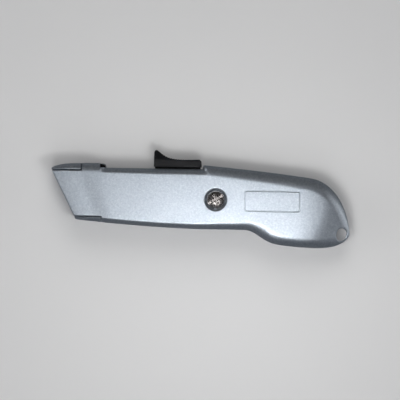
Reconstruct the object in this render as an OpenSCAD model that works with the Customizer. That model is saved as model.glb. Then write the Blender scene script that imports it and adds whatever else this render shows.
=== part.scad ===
// Retractable utility knife: two die-cast casing halves held by one screw, a blade carrier that
// slides between them, a sprung thumb button that locks it, the blade and five spares.
// The knife lies on the outer face of its far casing. X runs to the tail, Y to the thumb
// button and Z up through the thickness. The origin is under the casing screw's axis, on the
// rest face.

/* [Casing outline] */
// Rear end of the blade carrier to the casing screw axis
screw_gap = 10; // [9:0.1:16]
// Casing screw axis to the front of the spare blades
spare_gap = 4; // [3:0.1:12]
// Room behind the spare blades
tail_gap = 4.4; // [4:0.1:14]
// Height of the slider rail above the casing screw axis
rail_y = 15.6; // [13:0.1:19]
// Rise of the hump in front of the rail
hump_rise = 2.2; // [1.8:0.1:3]
// Rise of the shoulder behind the rail
rear_rise = 2.15; // [1.8:0.1:3]
// Metal below the blade channel at the nose
nose_sill = 2; // [1.8:0.1:3]
// Metal below the blade channel at the waist
waist_sill = 6; // [5:0.1:7.5]
// Drop of the belly below the waist
belly_drop = 8.8; // [7:0.1:11]
// Slant of the nose, from square to the rail
nose_slant = 26.8; // [22:0.1:32]

/* [Casing section] */
// Thickness over both casings
body_t = 19; // [17:0.1:23]
// Thickness of the nose
nose_t = 17.8; // [14.8:0.1:18.6]
// Depth of the rounded casing edge, measured through the thickness
edge_z = 5.5; // [4:0.1:7]
// Roof left over the hollows
roof = 2; // [1.5:0.1:2.6]
// Wall left round the handle hollow
rim = 2.6; // [2:0.1:3.4]
// Parting line between the casings
seam = 0.1; // [0.05:0.01:0.2]
// Gap round the interlocking nose tabs
tab_gap = 0.5; // [0.3:0.05:0.8]

/* [Blade] */
// Length of the cutting edge
blade_l = 61.5; // [51:0.1:74]
// Height of the blade
blade_h = 19; // [16:0.1:23]
// Thickness of the blade
blade_t = 0.6; // [0.5:0.05:0.8]
// Length that each end slants back by
blade_slant = 13.5; // [11:0.1:16.5]
// Spacing of the two notches in the back
notch_pitch = 12; // [10:0.1:14.5]
// Width of a notch
notch_w = 3.2; // [2.6:0.1:4]

/* [Slider] */
// Travel of the blade
travel = 24; // [18:0.1:29]
// Length of the thumb button
button_l = 24.9; // [24:0.1:28]
// Height of the button's crest above its base
button_h = 8.9; // [7:0.1:11]
// Width of the thumb button
button_w = 8; // [7:0.1:10]
// Press that frees the button
press = 0.6; // [0.4:0.05:0.8]
// Length of the button's stem
stem_l = 14; // [12:0.1:16]
// Thickness of the button's stem
stem_t = 3.2; // [2.8:0.1:3.8]
// Thickness of the rail's lips
lip_t = 1.7; // [1.5:0.1:2.2]
// Height of the carrier's flange
flange_h = 3; // [2.6:0.1:4]
// Sliding clearance on each side
slide_gap = 0.3; // [0.2:0.05:0.4]

/* [Casing screw] */
// Radius of the screw head
head_r = 4.8; // [4.2:0.1:5.8]
// Gap between the screw head and the mouth of its tapered counterbore
head_gap = 1.1; // [0.5:0.1:1.6]
// Height of the screw head
head_h = 2.2; // [1.8:0.1:2.7]
// Depth of the head's top below the face
head_sink = 0.4; // [0:0.1:1]
// Radius of the screw's shank
shank_r = 2.5; // [2:0.1:3]
// Radius of the screw bosses
boss_r = 5.5; // [5.3:0.1:6.5]
// Metal below the threaded insert
insert_floor = 3.4; // [2.2:0.1:4.2]

/* [Trim] */
// Length of the label frame
label_l = 29; // [24:0.1:34]
// Height of the label frame
label_h = 11; // [8:0.1:13]
// Width of the label frame's groove
groove_w = 0.5; // [0.4:0.05:0.8]
// Depth of the label frame's groove
groove_d = 0.3; // [0.2:0.05:0.6]
// Width of the lanyard hole
lanyard_w = 5.2; // [4.2:0.1:5.5]
// Length of the lanyard hole
lanyard_l = 6.6; // [5.5:0.1:8]
// Metal behind the lanyard hole
lanyard_wall = 1.7; // [1.4:0.1:2.2]

/* [Hidden] */
$fn = 48;

// Levels through the thickness
half_t = body_t / 2;
mid = half_t;                            // parting plane
blade_z = mid - blade_t / 2;
carrier_t = 3.95;                        // carrier plate under the blade
carrier_z = blade_z - 0.05 - carrier_t;
channel_z = carrier_z - 0.2;             // floor of the carrier channel
flange_z0 = mid - 2;
flange_z1 = mid + 4.3;
lip_gap = 0.25;                          // blade to each casing at the nose
roof_z = body_t - roof;

// Levels across the height
lip_y = rail_y - lip_t;
flange_top = lip_y - slide_gap;
flange_y = flange_top - flange_h;
spine_y = flange_y - 0.6;
edge_y = spine_y - blade_h;
channel_y = edge_y - 0.5;                // bottom of the blade channel
channel_top = flange_y - 0.1;
carrier_y = edge_y + 2;
base_gap = press + 0.2;                  // button's base above the rail
base_y = rail_y + base_gap;
nose_bottom = channel_y - nose_sill;
waist_y = channel_y - waist_sill;
belly_y = waist_y - belly_drop;

// Places along the length
slant = tan(nose_slant);
carrier_rear = -screw_gap;
blade_x = carrier_rear - 1 - blade_l;    // front point of the blade at rest
blade_mid = blade_x + blade_l / 2;
tip_y = rail_y - 0.8;
nose_x = blade_x - 1.2 - (tip_y - edge_y) * slant;
function nose_front(y) = nose_x + (tip_y - y) * slant;
notch_x = [blade_mid - notch_pitch / 2, blade_mid + notch_pitch / 2];
notch_y = spine_y - 1.5;
pin_r = notch_w / 2 - 0.3;
flange_front = notch_x[0] - 4.2;
function carrier_front(y) = flange_front + (spine_y - y) * slant;
button_rear = carrier_rear + 2.5;
button_front = button_rear - button_l;
stem_x = (button_front + button_rear) / 2;
rail_front = button_front - travel - 0.7;
rail_rear = button_rear + 0.5;
tail_x = spare_gap + blade_l + tail_gap;
block_x = [rail_front - 3.1, rail_front - 0.5];   // index strip's end block
handle_x = carrier_rear + 2.4;           // front of the handle hollow

// Outline of the casings, as curves through their corner points
function bezier(p, n) = [
    for (i = [0:n - 1]) let (t = i / n, u = 1 - t)
        u * u * u * p[0] + 3 * u * u * t * p[1] + 3 * u * t * t * p[2] + t * t * t * p[3]
];
bottom_x = nose_front(nose_bottom);
crest = [nose_x + 7.5, rail_y + hump_rise - 0.4];
hump_end = [rail_front - 2.2, rail_y + hump_rise];
shoulder = [rail_rear + 0.4, rail_y + rear_rise];
tail_top = [tail_x - 20.2, rail_y - 3.8];
tail_point = [tail_x, waist_y - 1.1];
waist_rear = [tail_x - 55.4, waist_y];
belly_front = [tail_x - 38.3, belly_y + 1.6];
belly_rear = [tail_x - 15.5, belly_y];
waist_front = [-8, waist_y];
TOP_LINE = concat(
    bezier([[nose_x, tip_y], [nose_x + 0.8, tip_y + 1], [nose_x + 4, crest.y - 0.5], crest], 8),
    bezier([crest, crest + [7, 0.4], hump_end + [-6, 0.3], hump_end], 6),
    bezier([hump_end, hump_end + [1.2, -0.1], [rail_front - 0.1, rail_y + 1.8],
            [rail_front, rail_y]], 5),
    bezier([[rail_front, rail_y], [rail_front + 10, rail_y], [rail_rear - 10, rail_y],
            [rail_rear, rail_y]], 3),
    [[rail_rear, rail_y]],
    bezier([shoulder, shoulder + [18.6, -1.5], [tail_top.x - 15.7, shoulder.y - 3.7], tail_top], 8),
    bezier([tail_top, tail_top + [11.3, -1.9], tail_point + [-1.3, 14.6], tail_point], 16),
    [tail_point]
);
BOTTOM_LINE = concat(
    bezier([[bottom_x, nose_bottom], [bottom_x + 20.4, waist_y + 2], waist_front + [-20, 0.2],
            waist_front], 8),
    [waist_front],
    bezier([waist_rear, waist_rear + [6.8, 0.1], belly_front + [-7.6, 1.3], belly_front], 10),
    bezier([belly_front, belly_front + [6.4, -1.1], belly_rear + [-7.4, 0], belly_rear], 6),
    bezier([belly_rear, belly_rear + [10.4, 0.2], tail_point + [0, -2.8], tail_point], 12),
    [tail_point]
);
OUTLINE = concat(TOP_LINE, [for (i = [len(BOTTOM_LINE) - 2:-1:0]) BOTTOM_LINE[i]]);
function top_y(x) = lookup(x, TOP_LINE);
function bottom_y(x) = lookup(x, BOTTOM_LINE);

// Half thickness: rounded off at the nose, one soft step up to the body, falling at the tail
nose_step = half_t - nose_t / 2;
function nose_half(f) = half_t - lookup(f, [
    [0, nose_step + 2.4], [0.02, nose_step + 1.2], [0.05, nose_step + 0.5],
    [0.11, nose_step], [0.5, 0.95 * nose_step], [0.56, 0.85 * nose_step],
    [0.68, 0.35 * nose_step], [0.76, 0.08 * nose_step], [0.82, 0]
]);
function tail_half(x) = half_t - lookup(tail_x - x, [
    [0.4, 4.1], [1.2, 3.3], [2.5, 2.6], [4.5, 1.7], [7.5, 0.8], [11, 0.25], [16, 0]
]);
// Width of the rounded edge along the top and the bottom
function top_edge(x) = lookup(x, [
    [rail_front - 2, 3.8], [rail_front, 2.2], [rail_rear, 2.2], [waist_rear.x + 5.5, 4.2],
    [tail_x - 20, 5.2]
]);
function bottom_edge(x) = lookup(x, [
    [nose_x + 15, 2], [waist_front.x, 2.6], [waist_rear.x, 3.8], [belly_front.x, 4],
    [belly_rear.x, 3.4]
]);

// Stations of the skin, as [top x, bottom x, half thickness]
nose_run = rail_front - nose_x;
sill_run = nose_run * 0.78;
TAIL_STEPS = [16, 13.5, 11, 9, 7, 5.5, 4, 2.8, 1.8, 1, 0.4];
STATIONS = concat(
    [for (f = [0, 0.02, 0.05, 0.11, 0.22, 0.36, 0.5, 0.56, 0.62, 0.68, 0.76, 0.82, 0.9, 0.95, 1])
        [nose_x + f * nose_run, bottom_x + f * sill_run, nose_half(f)]],
    [for (f = [0.25, 0.5, 0.75, 1]) [rail_front + f * (rail_rear - rail_front),
        bottom_x + sill_run + f * (rail_rear - bottom_x - sill_run), half_t]],
    [for (f = [0, 0.42, 0.8]) let (x = shoulder.x + f * (waist_rear.x - shoulder.x))
        [x, x, half_t]],
    [for (f = [0, 0.15, 0.3, 0.45, 0.6, 0.8])
        let (x = waist_rear.x + f * (belly_front.x - waist_rear.x)) [x, x, half_t]],
    [for (d = [0, 6.4, 13.4]) [belly_front.x + d, belly_front.x + d, half_t]],
    [for (d = TAIL_STEPS) [tail_x - d, tail_x - d, tail_half(tail_x - d)]]
);
EDGE_STEPS = 5;
function section(s, low_z) =
    let (
        low = [s[1], bottom_y(s[1])],
        high = [s[0], top_y(s[0])],
        height = norm(high - low),
        up = (high - low) / height,
        low_w = min(bottom_edge(s[1]), 0.45 * height),
        high_w = min(top_edge(s[0]), 0.45 * height),
        depth = min(edge_z, s[2] - 1),
        angles = [for (k = [0:EDGE_STEPS]) 90 * k / EDGE_STEPS]
    )
    concat(
        [[low.x, low.y, low_z]],
        [for (a = angles) let (p = low + up * low_w * (1 - cos(a)))
            [p.x, p.y, s[2] - depth * (1 - sin(a))]],
        [for (i = [EDGE_STEPS:-1:0]) let (a = angles[i], p = high - up * high_w * (1 - cos(a)))
            [p.x, p.y, s[2] - depth * (1 - sin(a))]],
        [[high.x, high.y, low_z]]
    );
RING = 2 * EDGE_STEPS + 4;

// Outer skin of one casing half, from just off the parting plane outwards
module half_skin(low_z = seam / 2) {
    rings = len(STATIONS);
    points = [for (s = STATIONS) each section(s, low_z)];
    sides = [for (i = [0:rings - 2], j = [0:RING - 1])
        let (a = i * RING + j, b = i * RING + (j + 1) % RING)
        each [[a, b, b + RING], [a, b + RING, a + RING]]];
    polyhedron(points, concat(sides, [
        [for (j = [RING - 1:-1:0]) j],
        [for (j = [0:RING - 1]) (rings - 1) * RING + j]
    ]));
}

// A box between two corner points
module box(low, high) {
    translate(low) cube(high - low);
}

// A plate of the given outline between two heights
module plate(points, z0, z1) {
    translate([0, 0, z0]) linear_extrude(z1 - z0) polygon(points);
}

// A rectangle with true round corners
module rounded_rect(l, h, r) {
    square([l - 2 * r, h], center = true);
    square([l, h - 2 * r], center = true);
    for (x = [-1, 1], y = [-1, 1])
        translate([x * (l / 2 - r), y * (h / 2 - r)]) circle(r);
}

// Nose tabs: the far casing's top and bottom tabs stand in cuts of the near casing
top_tab = [nose_x + 15.6, tip_y - 0.6];   // rear end and lower side
bottom_tab = [nose_x + 26.2, nose_bottom + 0.7];
module nose_tabs(gap) {
    box([nose_x - 5, top_tab.y - gap, mid - 1], [top_tab.x + gap, top_tab.y + 10, body_t + 1]);
    box([nose_x - 5, bottom_tab.y - 10, mid - 1], [bottom_tab.x + gap, bottom_tab.y + gap, body_t + 1]);
}

// Space that the blade sweeps, out through the nose
blade_stop = blade_x + blade_l + 0.6;
module blade_sweep(z0, z1) {
    box([nose_x - 10, channel_y, z0], [blade_stop, channel_top, z1]);
}

// Space that the carrier's plate sweeps
module carrier_sweep(z0, z1) {
    front = -travel - 0.8;
    plate([
        [carrier_front(carrier_y) + front, carrier_y - 0.2],
        [carrier_rear + 0.8, carrier_y - 0.2],
        [carrier_rear + 0.8, lip_y],
        [carrier_front(lip_y) + front, lip_y]
    ], z0, z1);
}

// Space that the button's stem and skirt sweep
slot_half = stem_t / 2 + 0.4;
skirt_gap = 0.6;                         // skirt drawn in from the button's ends
module stem_sweep(z0, z1) {
    box([block_x[1], flange_y, z0], [stem_x + stem_l / 2 + 0.6, rail_y + 10, z1]);
    box([block_x[1], lip_y - 0.1, z0], [button_rear - skirt_gap + 0.4, rail_y + 10, z1]);
}

// Index strip: notches under a rail, and a block that ends the slot
strip_y = lip_y - 1.8;
module index_block(gap) {
    low_x = block_x[0] - gap;
    high_x = block_x[1] + gap;
    top = rail_y + hump_rise;
    plate([[low_x, lip_y - 0.2], [high_x, lip_y - 0.2], [high_x, top - 1 + gap],
           [low_x, top - 0.25 + gap]], channel_z + 0.1 - gap, mid + 2.9 + gap);
}

// Handle hollow: the outline drawn in by the rim, kept off the screw and the lanyard hole
lanyard = [tail_x - lanyard_wall - lanyard_w / 2, tail_point.y - 3.8 + lanyard_l / 2];
lanyard_tilt = 12;
module handle_outline(end, boss) {
    difference() {
        intersection() {
            offset(delta = -rim) polygon(OUTLINE);
            translate([handle_x, belly_y]) square([end - handle_x, rail_y - belly_y]);
        }
        circle(boss);
        translate(lanyard) circle(lanyard_l / 2 + 1.8);
    }
}
module handle_hollow(boss) {
    depth = half_t - roof;
    translate([0, 0, mid - depth]) linear_extrude(depth + 1) handle_outline(tail_x - 9.5, boss);
    translate([0, 0, mid - 5]) linear_extrude(6) handle_outline(tail_x - 3, boss);
}

label_mid = [tail_x - 40.5, waist_y + 15.1];
label_r = 1.2;

// Slotted hole with true round ends
module lanyard_hole() {
    translate([lanyard.x, lanyard.y, -1]) rotate(-lanyard_tilt) linear_extrude(body_t + 2) {
        for (y = [-1, 1]) translate([0, y * (lanyard_l - lanyard_w) / 2]) circle(lanyard_w / 2);
        square([lanyard_w, lanyard_l - lanyard_w], center = true);
    }
}

// Spare blades and their tray
spare_x = spare_gap;
tray_lip = 1.2;
spare_y = waist_y + rim + 0.2 + tray_lip;
tray_z = channel_z;
tray_floor = 1.2;
spare_pitch = blade_t + 0.02;
spare_z = tray_z + tray_floor + 0.05;
stack_z = spare_z + 4 * spare_pitch + blade_t;

// Casing screw levels
counterbore_r = head_r + head_gap;
seat_z = body_t - head_sink - head_h;
web_t = 1.3;
retainer_t = 0.7;
retainer_gap = 0.9;                      // retainer above the insert
insert_z = insert_floor;
// The insert is as long as the screw's travel, so the screw comes free of it
insert_l = (seat_z - web_t - 0.1 - retainer_t - retainer_gap - insert_z) / 2;
retainer_z = insert_z + insert_l + retainer_gap;
insert_r = shank_r + 1.3;
retainer_r = insert_r - 0.3;
screw_tip = insert_z + 0.4;

// Cells under and over the blade, three along its length, with ribs between them
RIB_T = 1.6;
CELLS = 3;
cell_x = flange_front - 2;
cell_pitch = (carrier_rear - cell_x) / CELLS;
module cells(low_y, high_y, z0, z1) {
    for (i = [0:CELLS - 1]) {
        x = cell_x + i * cell_pitch;
        box([x, low_y, z0], [x + cell_pitch - RIB_T, high_y, z1]);
    }
}

module far_casing() color("silver") {
    tray_ribs = [spare_x + 14, spare_x + 30, spare_x + 46];
    difference() {
        union() {
            translate([0, 0, mid]) mirror([0, 0, 1]) half_skin();
            intersection() {
                translate([0, 0, mid]) half_skin(-seam / 2);
                nose_tabs(0);
            }
        }
        blade_sweep(blade_z - lip_gap, mid + 1);
        carrier_sweep(channel_z, mid);
        stem_sweep(mid - slot_half, mid);
        box([block_x[0] - 0.1, strip_y - 0.1, channel_z], [carrier_rear + 0.8, lip_y, mid]);
        index_block(0.1);
        cells(carrier_y + 1, spine_y - 1, roof, channel_z + 1);
        difference() {
            handle_hollow(boss_r);
            for (x = tray_ribs)
                box([x, waist_y - 20, 0], [x + RIB_T, rail_y, tray_z]);
        }
        translate([0, 0, insert_z]) cylinder(r = insert_r, h = mid);
        translate([0, 0, screw_tip - 1]) cylinder(r = shank_r + 0.2, h = mid);
        lanyard_hole();
    }
}

module near_casing() color("silver") {
    rib_y = [carrier_y, (carrier_y + spine_y) / 2 - 2, spine_y - 4];
    difference() {
        translate([0, 0, mid]) half_skin();
        nose_tabs(tab_gap);
        blade_sweep(mid - 1, blade_z + blade_t + lip_gap);
        // grooves for the blade pins and for the carrier's flange
        box([carrier_front(spine_y) - travel, notch_y - 2, mid - 1],
            [carrier_rear, channel_top, mid + 1.8]);
        box([flange_front - travel - 0.8, channel_top - 0.2, mid - 1],
            [carrier_rear + 0.8, lip_y, flange_z1 + 0.2]);
        stem_sweep(mid - 1, mid + slot_half);
        index_block(0.1);
        box([block_x[0] - 0.1, rail_y + 0.05, mid - 1], [rail_front + 1, rail_y + 10, body_t + 1]);
        for (j = [0, 1])
            cells(rib_y[j] + RIB_T / 2, rib_y[j + 1] - RIB_T / 2, mid - 1, roof_z - 0.5);
        translate([0, 0, body_t]) mirror([0, 0, 1]) difference() {
            handle_hollow(counterbore_r + 1.4);
            translate([clip_x, clip_y, 0]) cylinder(r = 3.2, h = body_t - clip_z);
        }
        translate([clip_x, clip_y, mid]) cylinder(r = clip_rivet_r, h = clip_z + 2 - mid);
        // seat, web and bore for the casing screw
        translate([0, 0, seat_z])
            cylinder(r1 = head_r + 0.2, r2 = counterbore_r, h = body_t - seat_z + 0.01);
        translate([0, 0, mid - 1]) cylinder(r = shank_r + 0.25, h = body_t);
        translate([0, 0, mid - 1]) cylinder(r = insert_r, h = seat_z - web_t - mid + 1);
        // label frame
        translate([label_mid.x, label_mid.y, body_t - groove_d]) linear_extrude(1) difference() {
            rounded_rect(label_l, label_h, label_r);
            rounded_rect(label_l - 2 * groove_w, label_h - 2 * groove_w, label_r - 0.4);
        }
        lanyard_hole();
    }
}

module threaded_insert() color("goldenrod") {
    difference() {
        translate([0, 0, insert_z]) cylinder(r = insert_r, h = insert_l);
        translate([0, 0, insert_z - 1]) cylinder(r = shank_r, h = insert_l + 2);
    }
}

module index_strip() color("#1a1a1c") {
    notch_gap = travel / 3;              // four stops of the button's tooth
    difference() {
        union() {
            box([block_x[0], strip_y, channel_z + 0.1], [carrier_rear, lip_y - 0.05, flange_z0 - 0.3]);
            index_block(0);
        }
        for (i = [0:3]) {
            x = stem_x - i * notch_gap;
            plate([[x - 1.7, strip_y - 1], [x + 1.7, strip_y - 1], [x + 1.2, strip_y + 0.8],
                   [x - 1.2, strip_y + 0.8]], 0, flange_z0);
        }
    }
}

module casing_screw() color("gray") {
    groove = retainer_z - 0.1;
    difference() {
        rotate_extrude() polygon([
            [0, screw_tip], [shank_r - 0.55, screw_tip], [shank_r - 0.05, screw_tip + 0.5],
            [shank_r - 0.05, groove], [shank_r - 0.5, groove],
            [shank_r - 0.5, groove + retainer_t + 0.2], [shank_r, groove + retainer_t + 0.2],
            [shank_r, seat_z], [head_r, seat_z], [head_r, seat_z + head_h * 0.6],
            [head_r - 0.5, seat_z + head_h * 0.82], [head_r - 1.5, seat_z + head_h * 0.96],
            [0, seat_z + head_h]
        ]);
        translate([0, 0, seat_z + head_h]) rotate(30) {
            cube([2 * head_r + 1, 1.3, 2.2], center = true);
            cube([1.5, 5.4, 3], center = true);
            cube([5.4, 1.5, 3], center = true);
        }
    }
}

module screw_retainer() color("dimgray") {
    difference() {
        translate([0, 0, retainer_z]) cylinder(r = retainer_r, h = retainer_t);
        translate([0, 0, retainer_z - 1]) cylinder(r = shank_r - 0.44, h = retainer_t + 2);
        box([0, -1, retainer_z - 1], [retainer_r + 1, 1, retainer_z + retainer_t + 1]);
    }
}

// Pocket in the carrier for the button's foot and its spring
foot_y = flange_y - 0.9;
foot_l = 8;
spring_t = 0.4;
spring_y = foot_y - 2.2;
spring_z = [mid - 3.1, mid - 0.7];
spring_rivet_r = 0.5;
spring_x = [stem_x - 10, stem_x + 7];
rivet_x = spring_x[1] - 1.5;
rivet_z = mid - 1.9;
module blade_carrier() color("slategray") {
    difference() {
        union() {
            plate([
                [carrier_front(carrier_y), carrier_y], [carrier_rear, carrier_y],
                [carrier_rear, flange_y], [carrier_front(flange_y), flange_y]
            ], carrier_z, carrier_z + carrier_t);
            box([flange_front, flange_y - 0.3, flange_z0], [carrier_rear, flange_top, blade_z - 0.05]);
            box([flange_front, flange_y, blade_z - 0.1], [carrier_rear, flange_top, flange_z1]);
        }
        box([spring_x[0] - 1, spring_y, mid - 3.5], [spring_x[1] + 1, flange_y + 0.1, mid]);
        box([stem_x - stem_l / 2 - slide_gap, flange_y - 1, 0],
            [stem_x + stem_l / 2 + slide_gap, lip_y + 1, mid + stem_t / 2 + slide_gap]);
        for (x = notch_x) translate([x, notch_y, mid - 3]) cylinder(r = pin_r, h = 10);
        translate([stem_x, button_pin_y, 0]) cylinder(r = button_pin_r, h = body_t);
        translate([rivet_x, spring_y - 2.5, rivet_z]) rotate([-90, 0, 0])
            cylinder(r = spring_rivet_r, h = 3, $fn = 24);
        for (x = [stem_x + 4, stem_x - 7, stem_x - 18])
            translate([x, (carrier_y + spring_y) / 2, 0]) cylinder(r = 3.4, h = body_t);
    }
}

module blade_pins() color("lightgray") {
    for (x = notch_x) translate([x, notch_y, mid - 3]) cylinder(r = pin_r, h = 4.2);
}

button_pin_r = 0.75;
button_pin_y = flange_y + 1.6;
module button_pin() color("lightgray") {
    translate([stem_x, button_pin_y, mid - stem_t / 2]) cylinder(r = button_pin_r, h = stem_t / 2 + 4);
}

// Leaf spring: an arch under the button's foot with a flat end that is riveted down
module button_spring() color("lightsteelblue") {
    rise = foot_y - 0.05 - spring_y - spring_t;
    span = spring_x[1] - 3 - spring_x[0];
    arch = [for (i = [0:12]) let (t = i / 12)
        [spring_x[0] + t * span, spring_y + rise * (1 - cos(360 * t)) / 2]];
    line = concat(arch, [[spring_x[1], spring_y]]);
    difference() {
        plate(concat(line, [for (i = [len(line) - 1:-1:0]) line[i] + [0, spring_t]]),
              spring_z[0], spring_z[1]);
        translate([rivet_x, 0, rivet_z]) rotate([-90, 0, 0])
            cylinder(r = spring_rivet_r, h = base_y, $fn = 24);
    }
}

module spring_rivet() color("silver") {
    translate([rivet_x, 0, rivet_z]) rotate([-90, 0, 0]) {
        translate([0, 0, spring_y - 2.5]) cylinder(r = spring_rivet_r, h = 3, $fn = 24);
        translate([0, 0, spring_y + spring_t]) cylinder(r = 2 * spring_rivet_r, h = 0.5, $fn = 24);
    }
}

// Thumb button: a ridged ramp behind a tall crest, on a stem that passes through the slot
module thumb_button() color("#1a1a1c") {
    crest_y = base_y + button_h;
    ramp = bezier([[button_front + 1.2, crest_y - 0.1], [button_front + 7, crest_y - 4.4],
                   [button_front + 9, base_y + 3.5], [button_rear - 1.2, base_y + 4.2]], 12);
    difference() {
        union() {
            plate(concat(
                [[button_front, base_y], [button_front + 0.3, crest_y - 0.3],
                 [button_front + 0.7, crest_y]],
                ramp,
                [[button_rear - 1.2, base_y + 4.2], [button_rear - 0.2, base_y + 3.2],
                 [button_rear, base_y]]
            ), mid - button_w / 2, mid + button_w / 2);
            for (i = [1:8])
                translate([ramp[i].x, ramp[i].y, mid - button_w / 2 + 0.6])
                    cylinder(r = 0.35, h = button_w - 1.2, $fn = 16);
            box([stem_x - stem_l / 2, flange_y + 0.3, mid - stem_t / 2],
                [stem_x + stem_l / 2, base_y + 0.5, mid + stem_t / 2]);
            // skirt that fills the slot under the button
            box([button_front + skirt_gap, base_y - base_gap - 0.4, mid - stem_t / 2],
                [button_rear - skirt_gap, base_y + 0.5, mid + stem_t / 2]);
            // foot that the spring lifts, with the tooth that meets the index strip
            box([stem_x - foot_l / 2, foot_y, mid - stem_t / 2],
                [stem_x + foot_l / 2, base_y, blade_z - 0.3]);
            box([stem_x - foot_l / 2, foot_y, mid - 3.2],
                [stem_x + foot_l / 2, foot_y + 1.3, blade_z - 0.3]);
            plate([[stem_x - 1, foot_y + 1], [stem_x + 1, foot_y + 1],
                   [stem_x + 0.8, strip_y - 0.3], [stem_x - 0.8, strip_y - 0.3]],
                  mid - 3.2, mid - stem_t / 2 + 0.1);
        }
        // slot that lets the button sink past its pin
        for (y = [0, press]) translate([stem_x, button_pin_y + y, 0])
            cylinder(r = button_pin_r + 0.05, h = body_t);
        box([stem_x - button_pin_r - 0.05, button_pin_y, 0],
            [stem_x + button_pin_r + 0.05, button_pin_y + press, body_t]);
    }
}

// Trapezoid blade with two notches in its back, ground to an edge on both sides
module blade_shape() {
    grind = 1.6;
    end_slope = blade_slant / blade_h;
    half = blade_t / 2;
    difference() {
        intersection() {
            translate([-1, 0, half]) rotate([90, 0, 90]) linear_extrude(blade_l + 2) polygon([
                [0.02, -0.03], [0.02, 0.03], [grind, half], [blade_h, half], [blade_h, -half],
                [grind, -half]
            ]);
            translate([0, 0, -1]) linear_extrude(blade_t + 2) polygon([
                [-end_slope, -1], [blade_l + end_slope, -1],
                [blade_l - blade_slant - end_slope, blade_h + 1],
                [blade_slant + end_slope, blade_h + 1]
            ]);
        }
        for (x = [-1, 1]) translate([blade_l / 2 + x * notch_pitch / 2, blade_h - 1.5, -1]) {
            cylinder(r = notch_w / 2, h = 3);
            translate([-notch_w / 2, 0, 0]) cube([notch_w, 3, 3]);
        }
    }
}

module utility_blade() color("lightgray") {
    translate([blade_x, edge_y, blade_z]) blade_shape();
}

module spare_blade(i) color("lightgray") {
    translate([spare_x, spare_y, spare_z + i * spare_pitch]) blade_shape();
}

// Tray under the spares, with a lip along their edges and one along their backs
module spare_blade_tray() color("#26262a") {
    back_y = spare_y + blade_h + 0.3;
    x0 = spare_x + blade_slant;
    x1 = spare_x + blade_l - blade_slant;
    plate([
        [spare_x + 4, spare_y - tray_lip], [spare_x + blade_l - 6, spare_y - tray_lip],
        [x1, back_y + 0.6], [x0, back_y + 0.6]
    ], tray_z, tray_z + tray_floor);
    box([spare_x + 5, spare_y - tray_lip, tray_z], [spare_x + blade_l - 8, spare_y - 0.3, stack_z]);
    box([x0 + 2, back_y, tray_z], [x1 - 4, back_y + 1, stack_z]);
}

// Leaf spring over the spares, riveted to a boss of the near casing
clip_x = spare_x + 17;
clip_y = spare_y + blade_h / 2;
clip_t = 0.4;
clip_rivet_r = 1.2;
clip_z = mid + 4.5;
module spare_blade_clip() color("lightsteelblue") {
    drop = clip_z - clip_t - stack_z - 0.1;
    line = concat([[clip_x - 4, clip_z - clip_t], [clip_x + 4, clip_z - clip_t]],
        [for (i = [1:12]) let (t = i / 12)
            [clip_x + 4 + 26 * t, clip_z - clip_t - drop * (1 - cos(270 * t)) / 2]]);
    difference() {
        translate([0, clip_y + 4, 0]) rotate([90, 0, 0]) linear_extrude(8)
            polygon(concat(line, [for (i = [len(line) - 1:-1:0]) line[i] + [0, clip_t]]));
        translate([clip_x, clip_y, 0]) cylinder(r = clip_rivet_r, h = body_t);
    }
}

module clip_rivet() color("silver") {
    translate([clip_x, clip_y, clip_z - clip_t - 0.8]) {
        cylinder(r = clip_rivet_r, h = clip_t + 2.8);
        cylinder(r = 2, h = 0.8);
    }
}

far_casing();
near_casing();
threaded_insert();
index_strip();
casing_screw();
screw_retainer();
blade_carrier();
blade_pins();
button_pin();
button_spring();
spring_rivet();
thumb_button();
utility_blade();
spare_blade_tray();
spare_blade(0);  // spare_blade_1
spare_blade(1);  // spare_blade_2
spare_blade(2);  // spare_blade_3
spare_blade(3);  // spare_blade_4
spare_blade(4);  // spare_blade_5
spare_blade_clip();
clip_rivet();
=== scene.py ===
import math

import bpy
import numpy as np
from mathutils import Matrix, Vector


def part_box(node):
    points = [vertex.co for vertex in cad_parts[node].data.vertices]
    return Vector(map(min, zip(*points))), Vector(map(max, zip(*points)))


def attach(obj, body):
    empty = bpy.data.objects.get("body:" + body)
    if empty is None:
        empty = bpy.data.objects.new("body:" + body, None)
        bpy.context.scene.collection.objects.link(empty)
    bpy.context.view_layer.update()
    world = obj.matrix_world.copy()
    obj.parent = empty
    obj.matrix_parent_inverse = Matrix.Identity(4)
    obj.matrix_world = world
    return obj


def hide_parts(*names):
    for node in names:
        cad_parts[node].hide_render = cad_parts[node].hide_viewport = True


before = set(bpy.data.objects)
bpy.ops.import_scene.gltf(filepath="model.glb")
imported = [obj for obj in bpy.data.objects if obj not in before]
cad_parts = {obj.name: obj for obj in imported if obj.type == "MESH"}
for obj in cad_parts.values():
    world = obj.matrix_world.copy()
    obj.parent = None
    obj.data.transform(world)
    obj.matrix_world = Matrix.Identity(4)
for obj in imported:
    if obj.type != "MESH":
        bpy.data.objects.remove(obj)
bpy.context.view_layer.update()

MM = 0.001
FAR_AWAY = 400.0


def box_mm(node):
    """Lowest and highest corner of a CAD node, in millimetres."""
    low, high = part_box(node)
    return np.array(low) / MM, np.array(high) / MM


# ---------------------------------------------------------------------------------------------
# Sizes in millimetres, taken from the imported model
# ---------------------------------------------------------------------------------------------
FAR_LOW, FAR_HIGH = box_mm("far_casing")
NEAR_HIGH = box_mm("near_casing")[1]
BUTTON_LOW, BUTTON_HIGH = box_mm("thumb_button")
CARRIER_LOW, CARRIER_HIGH = box_mm("blade_carrier")
BLADE_LOW, BLADE_HIGH = box_mm("utility_blade")
SCREW_LOW, SCREW_HIGH = box_mm("casing_screw")
INSERT_LOW, INSERT_HIGH = box_mm("threaded_insert")
STRIP_LOW = box_mm("index_strip")[0]

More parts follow.
